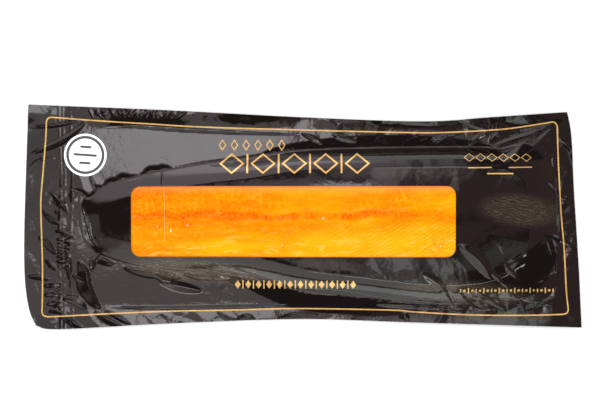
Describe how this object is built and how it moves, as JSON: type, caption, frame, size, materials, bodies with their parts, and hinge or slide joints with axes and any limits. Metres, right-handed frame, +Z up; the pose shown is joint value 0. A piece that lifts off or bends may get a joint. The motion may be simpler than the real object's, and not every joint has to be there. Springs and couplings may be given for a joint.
{
  "type": "vacuum-packed side of salmon",
  "caption": "Side of salmon, a long flat fillet that narrows to the tail, sealed in a black vacuum pouch with a clear window, a flat rim and a round white label.",
  "frame": {"origin": "on the surface that the pouch lies on, under the middle of its outline", "axes": "+X along the pouch towards the head end of the fillet, +Y towards its back edge, +Z up through the window"},
  "size_m": [0.66, 0.266, 0.0291],
  "materials": {
    "black_film": "glossy black printed film with thin gold lines and faint brown pattern",
    "clear_film": "clear glossy film",
    "salmon_flesh": "moist orange flesh with pale bands of fat",
    "label_paper": "satin white paper with a dark printed ring"
  },
  "bodies": {
    "root": {"film_bag": "black_film", "window_film": "clear_film", "salmon_side": "salmon_flesh", "round_label": "label_paper"}
  },
  "joints": []
}
